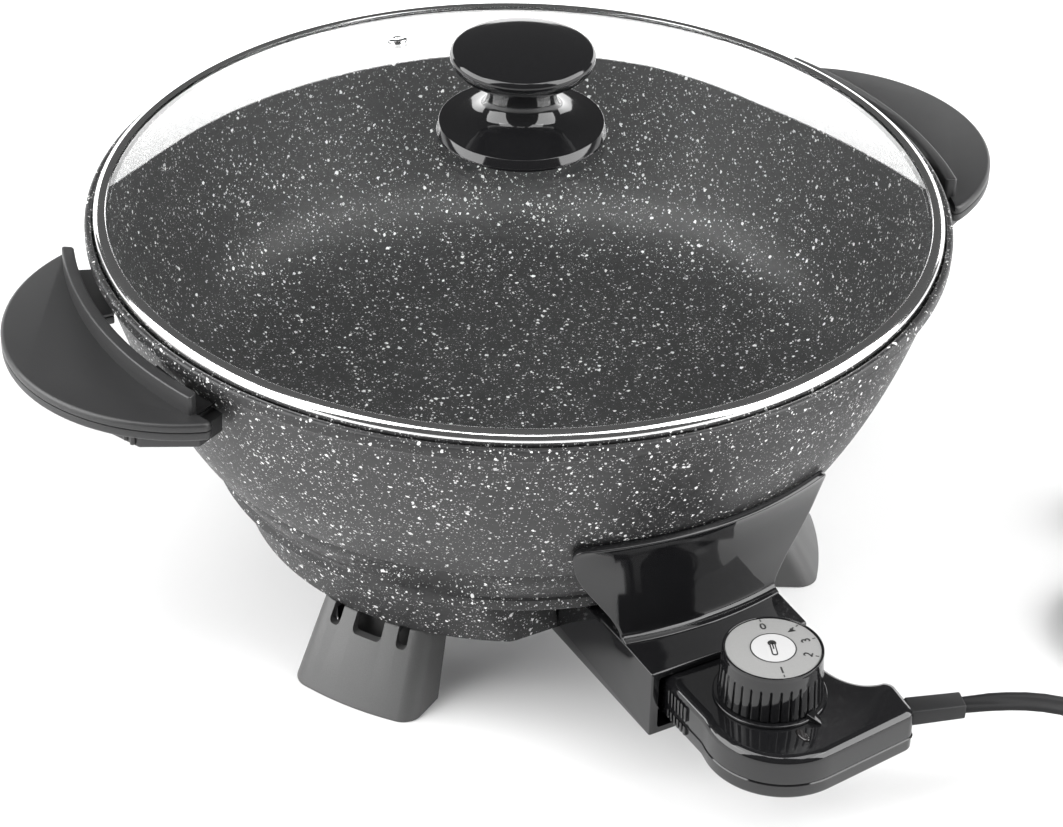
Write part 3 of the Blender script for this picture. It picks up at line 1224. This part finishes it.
def make_dial(dial, arm_top, gloss, silver, brass):
    """The knob, its label and its shaft, about the dial's own axis."""
    low = CONTROL_TOP + DIAL_LIFT
    recess = DIAL_TOP - LABEL_THICKNESS - 2 * GAP
    recess_radius = LABEL_RADIUS + GAP
    ceiling = recess - DIAL_CROWN
    shaft_bore = SHAFT_RADIUS + GAP
    line = (
        (0, recess),
        (recess_radius, recess),
        (recess_radius, DIAL_TOP),
        (DIAL_TOP_RADIUS - DIAL_ROUND / 2, DIAL_TOP),
        (DIAL_TOP_RADIUS, DIAL_TOP - DIAL_ROUND),
        (DIAL_RADIUS, low + DIAL_ROUND),
        (DIAL_RADIUS - DIAL_ROUND, low),
        (DIAL_RADIUS - DIAL_WALL, low),
        (DIAL_TOP_RADIUS - DIAL_WALL, ceiling),
        (DIAL_BOSS, ceiling),
        (DIAL_BOSS, low),
        (shaft_bore, low),
        (shaft_bore, SHAFT_TOP + GAP),
        (0, SHAFT_TOP + GAP),
    )
    knob = turned("dial_knob", line, GROOVES, gloss, dial)
    bm = bmesh.new()
    groove_top = low + (DIAL_TOP - low) * GROOVE_TOP_SHARE
    slope = math.atan2(DIAL_RADIUS - DIAL_TOP_RADIUS, DIAL_TOP - low)
    for i in range(GROOVES):
        matrix = (
            Matrix.Rotation(TURN * (i + 0.5) / GROOVES, 4, "Z")
            @ Matrix.Translation((DIAL_RADIUS - GROOVE_DEPTH + OVERRUN / 2, 0, low))
            @ Matrix.Rotation(-slope, 4, "Y")
            @ Matrix.Diagonal((OVERRUN, GROOVE_WIDTH, 2 * (groove_top - low), 1))
        )
        bmesh.ops.create_cube(bm, size=1, matrix=matrix)
    grooves = bpy.data.meshes.new("dial_grooves")
    bm.to_mesh(grooves)
    bm.free()
    combine(knob, put("dial_grooves", grooves, None, dial))
    label = turned(
        "dial_label",
        (
            (0, DIAL_TOP - GAP),
            (LABEL_RADIUS, DIAL_TOP - GAP),
            (LABEL_RADIUS, recess + GAP),
            (0, recess + GAP),
        ),
        32,
        silver,
        dial,
    )
    shaft = ((0, SHAFT_TOP), (SHAFT_RADIUS, SHAFT_TOP), (SHAFT_RADIUS, arm_top + GAP), (0, arm_top + GAP))
    turned("dial_shaft", shaft, 12, brass, dial)
    return label


def smooth_route(points, step):
    """Points a step apart, or less, on a smooth curve through these points, each a tuple of any length."""
    padded = [points[0], *points, points[-1]]
    route = [points[0]]
    for before, start, end, after in zip(padded, padded[1:], padded[2:], padded[3:]):
        count = max(1, round(math.dist(start[:3], end[:3]) / step))
        for i in range(1, count + 1):
            t = i / count
            weights = (-t + 2 * t**2 - t**3, 2 - 5 * t**2 + 3 * t**3, t + 4 * t**2 - 3 * t**3, t**3 - t**2)
            fours = zip(before, start, end, after)
            route.append(tuple(sum(w * n for w, n in zip(weights, numbers)) / 2 for numbers in fours))
    return route


def coil_height(turns):
    """The middle of the cord at this many turns: a layer, a climb in half a turn, and another layer."""
    share = min(1, max(0, (turns - COIL_TURNS / 2 + 0.25) * 2))
    return COIL_BOTTOM + CORD_WIDTH / 2 + COIL_LAYER * share * share * (3 - 2 * share)


def coil_line():
    """The coil winds in and out again at a steady rate, and each end runs straight for one cord width."""
    count = round(COIL_TURNS * COIL_POINTS_PER_TURN)
    points = []
    for i in range(count + 1):
        turns = COIL_TURNS * i / count
        radius = COIL_MIDDLE_RADIUS + COIL_PITCH * (abs(turns - COIL_TURNS / 2) - COIL_TURNS / 4)
        x, y = polar(radius, 360 * turns - 90)
        points.append((COIL_CENTRE[0] + x, -COIL_CENTRE[1] + y, coil_height(turns)))
    start, end = Vector(points[0]), Vector(points[-1])
    first = start - Vector((CORD_WIDTH, 0, 0))
    last = end + Vector((0, CORD_WIDTH, 0))
    return [tuple(first), *points, tuple(last)]


def least_self_gap(line):
    """The smallest gap between turns of the coil, whose section is two rounds joined by an upright web."""
    half_web = (CORD_WIDTH - CORD_THICKNESS) / 2
    apart = COIL_POINTS_PER_TURN // 2
    least = CORD_WIDTH
    for i, one in enumerate(line):
        for other in line[i + apart :]:
            across = math.dist(one[:2], other[:2])
            up = max(0, abs(one[2] - other[2]) - 2 * half_web)
            least = min(least, math.hypot(across, up) - CORD_THICKNESS)
    return least


def make_cord(control, flex, rubber, tie_look):
    """The strain relief, the free flex, its coil with a tie, and the tail that goes to the plug."""
    half_web = (CORD_WIDTH - CORD_THICKNESS) / 2
    start = Vector((BOOT_START[0], -BOOT_START[1], BOOT_HEIGHT))
    end = Vector((BOOT_END[0], -BOOT_END[1], BOOT_HEIGHT))
    along = end - start
    width, height = BOOT_SIZE
    mesh = blocks([((-height / 2, -width / 2, 0), (height / 2, width / 2, along.length))])
    for vertex in mesh.vertices:
        if vertex.co.z > along.length / 2:
            vertex.co.x *= BOOT_TAPER_SHARE
            vertex.co.y *= BOOT_TAPER_SHARE
    heading = Matrix.Rotation(math.atan2(along.y, along.x), 3, "Z")
    turn = (heading @ Matrix.Rotation(TURN / 4, 3, "Y")).to_euler()
    boot = put("cord_boot", mesh, rubber, control, start, turn)
    route = smooth_route(CORD_POINTS, CORD_STEP)
    tilts = [point[3] - 90 for point in route]
    free = tube_curve([point[:3] for point in route], CORD_THICKNESS / 2, 2, half_web, tilts)
    put("power_cord", free, flex, control)
    line = coil_line()
    put("cord_coil", tube_curve(line, CORD_THICKNESS / 2, 1, half_web), flex, control)
    print(f"least gap between the coil's turns: {1000 * least_self_gap(line):.2f} mm")
    exit_x, exit_y, exit_z = line[-1]
    tail = [(exit_x, exit_y + GAP + (PLUG_GAP_TO_COIL - 2 * GAP) * i / 2, exit_z) for i in range(3)]
    put("cord_tail", tube_curve(tail, CORD_THICKNESS / 2, 2, half_web), flex, control)
    make_tie(control, tie_look)
    return boot, (exit_x, exit_y + PLUG_GAP_TO_COIL, exit_z)


def make_tie(control, look):
    """A flat band round the coil's bundle of turns."""
    reach = COIL_PITCH * COIL_TURNS / 4 + CORD_THICKNESS / 2 + TIE_SPARE
    inner = COIL_MIDDLE_RADIUS - reach
    outer = COIL_MIDDLE_RADIUS + reach
    low = COIL_BOTTOM - GAP
    high = COIL_BOTTOM + CORD_WIDTH + COIL_LAYER + GAP
    hole = [(inner, low), (outer, low), (outer, high), (inner, high)]
    band = inset(hole, -TIE_THICKNESS)
    mesh = plate(band, -TIE_WIDTH / 2, TIE_WIDTH / 2)
    mesh.transform(Matrix.Rotation(TURN / 4, 4, "X"))
    place = (COIL_CENTRE[0], -COIL_CENTRE[1], 0)
    turn = (0, 0, math.radians(TIE_ANGLE))
    tie = put("cord_tie", mesh, look, control, place, turn)
    cut = plate(hole, -TIE_WIDTH, TIE_WIDTH)
    cut.transform(Matrix.Rotation(TURN / 4, 4, "X"))
    combine(tie, put("tie_hole", cut, None, control, place, turn))


def make_plug(control, entry, black, brass):
    """A three-pin plug that lies on its back, with its pins up."""
    width, length, depth = PLUG_SIZE
    x, y, _ = entry
    low = y + GAP
    outline = [
        (x - 0.36 * width, low),
        (x + 0.36 * width, low),
        (x + width / 2, low + 0.28 * length),
        (x + width / 2, low + 0.78 * length),
        (x + 0.34 * width, low + length),
        (x - 0.34 * width, low + length),
        (x - width / 2, low + 0.78 * length),
        (x - width / 2, low + 0.28 * length),
    ]
    top = PLUG_FOOT + depth
    body = put("plug_body", plate(outline, PLUG_FOOT, top), black, control)
    round_edges(body, PLUG_ROUND, 2, below(depth / 2))
    row = low + length / 2 - PLUG_PIN_ROW / 2
    pins = (
        ("live", PLUG_LIVE, x - PLUG_LIVE_SPACING / 2, row),
        ("neutral", PLUG_LIVE, x + PLUG_LIVE_SPACING / 2, row),
        ("earth", PLUG_EARTH, x, row + PLUG_PIN_ROW),
    )
    for name, (wide, deep, tall), pin_x, pin_y in pins:
        box = (
            (pin_x - wide / 2, pin_y - deep / 2, top + GAP),
            (pin_x + wide / 2, pin_y + deep / 2, top + tall),
        )
        put("plug_pin_" + name, blocks([box]), brass, control)


def main():
    clear_scene()
    coat = finish("speckled_coating", (0.055, 0.056, 0.058), 0.45)
    matt = finish("matt_black_plastic", (0.035, 0.035, 0.037), 0.55)
    gloss = finish("gloss_black_plastic", (0.012, 0.012, 0.013), 0.12)
    steel = finish("polished_steel", (0.72, 0.72, 0.72), 0.12, 1.0)
    tin = finish("reflector_tin", (0.55, 0.55, 0.56), 0.35, 1.0)
    screw_metal = finish("zinc_screw", (0.45, 0.45, 0.46), 0.35, 1.0)
    brass = finish("nickel_brass", (0.60, 0.55, 0.42), 0.30, 1.0)
    ceramic = finish("white_ceramic", (0.80, 0.78, 0.72), 0.50)
    glass = finish("clear_glass", (0.95, 0.97, 0.96), 0.02, 0.0, 1.0)
    silver = finish("silver_label", (0.60, 0.60, 0.58), 0.40)
    amber = finish("smoked_lens", (0.05, 0.03, 0.03), 0.10, 0.0, 0.5)
    rubber = finish("black_rubber", (0.030, 0.030, 0.030), 0.60)
    flex = finish("black_flex", (0.025, 0.025, 0.026), 0.42)
    tie_look = finish("tie_strap", (0.06, 0.06, 0.06), 0.50)
    root = empty("wok_axis", (0, AXIS_Y, 0))
    lid = empty("lid_axis", (0, 0, 0), root)
    control = empty("control_axis", (0, 0, 0), root)
    dial = empty("dial_axis", (DIAL_PLACE[0], -DIAL_PLACE[1], 0), control)
    make_pan(root, coat)
    make_skirt(root, coat)
    make_cover(root, tin, screw_metal)
    for name, angle in zip(LEG_NAMES, LEG_ANGLES):
        make_leg(root, "leg_" + name, angle, matt, screw_metal)
    make_element(root, steel, brass, ceramic, tin)
    make_shield(root, gloss, screw_metal)
    make_handle(root, "right", 0, matt, screw_metal)
    make_handle(root, "left", 180, matt, screw_metal)
    make_lid(lid, glass, steel, gloss, rubber, screw_metal)
    upper = make_housings(control, gloss, screw_metal)
    arm_top = make_control_insides(control, steel, brass, amber)
    make_bezel(control, gloss)
    make_dial(dial, arm_top, gloss, silver, brass)
    boot, entry = make_cord(control, flex, rubber, tie_look)
    socket = put("boot_socket", boot.data.copy(), None, control, boot.location, boot.rotation_euler)
    socket.data.materials.clear()
    for vertex in socket.data.vertices:
        vertex.co.x += math.copysign(GAP, vertex.co.x)
        vertex.co.y += math.copysign(GAP, vertex.co.y)
    for vertex in socket.data.vertices:
        if vertex.co.z <= 0:
            vertex.co.z -= GAP
    combine(upper, socket)
    make_plug(control, entry, rubber, brass)


main()
